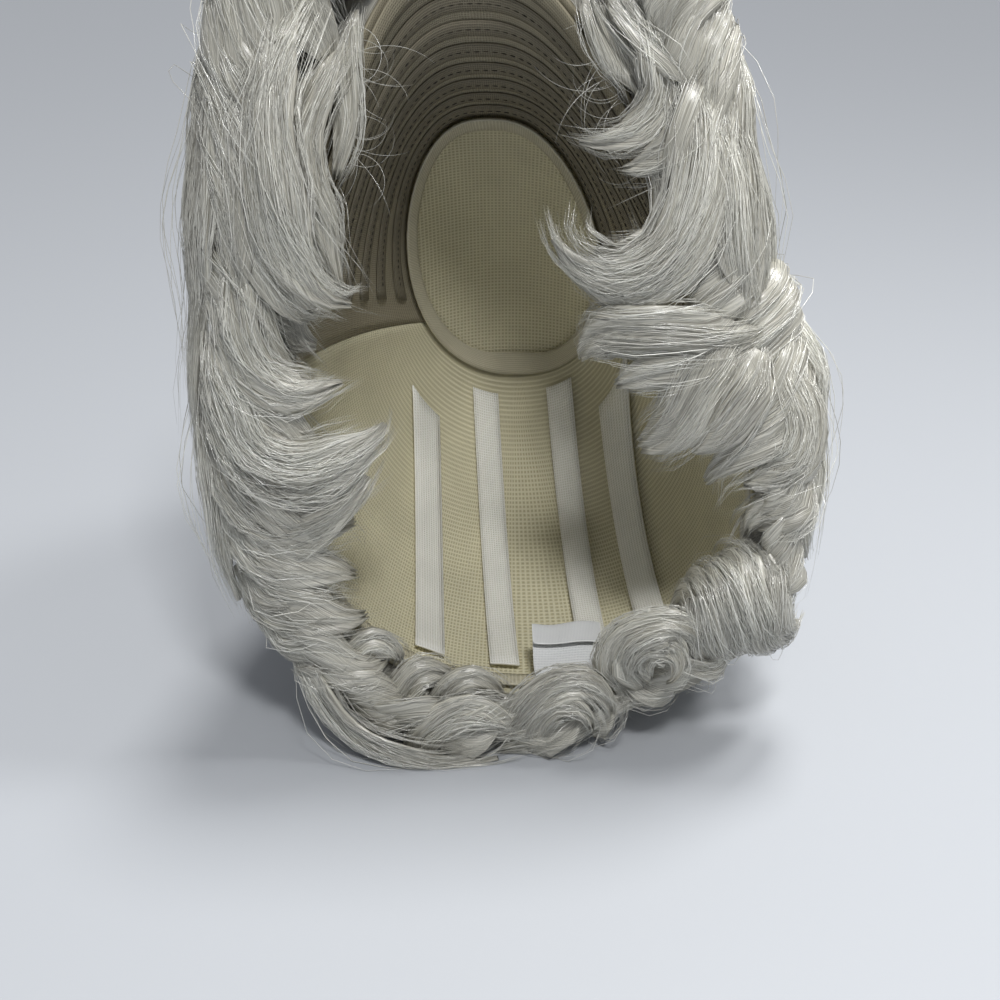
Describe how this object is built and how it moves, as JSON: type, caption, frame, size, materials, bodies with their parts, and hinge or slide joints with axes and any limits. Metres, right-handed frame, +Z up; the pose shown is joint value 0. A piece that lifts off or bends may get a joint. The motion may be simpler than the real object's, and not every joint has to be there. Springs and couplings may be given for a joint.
{
  "type": "wig",
  "caption": "Short curly wig lying on the back of its head: an open net cap with weft rows, tapes and a plain label, under a thick mass of curled locks.",
  "frame": {"origin": "on the surface that the wig lies on, in the middle of its flat resting patch", "axes": "+Z up, +Y from the open edge of the cap into the crown, +X to the right as seen into the opening"},
  "size_m": [0.2044, 0.201, 0.2812],
  "materials": {
    "net": "fine cotton net",
    "weft": "machine-stitched weft",
    "band": "woven tape",
    "tape": "woven tape",
    "label": "plain satin ribbon",
    "hair": "glossy synthetic fibre"
  },
  "bodies": {
    "root": {"front_panel": "net", "back_panel": "net", "crown_net": "net", "front_weft_1": "weft", "front_weft_2": "weft", "front_weft_3": "weft", "front_weft_4": "weft", "front_weft_5": "weft", "front_weft_6": "weft", "front_weft_7": "weft", "front_weft_8": "weft", "front_band": "band", "nape_band": "band", "crown_band": "band", "back_tape_1": "tape", "back_tape_2": "tape", "back_tape_3": "tape", "back_tape_4": "tape", "label": "label", "nape_hair": "hair", "right_hair": "hair", "front_hair": "hair", "left_hair": "hair", "crown_hair": "hair"}
  },
  "joints": []
}
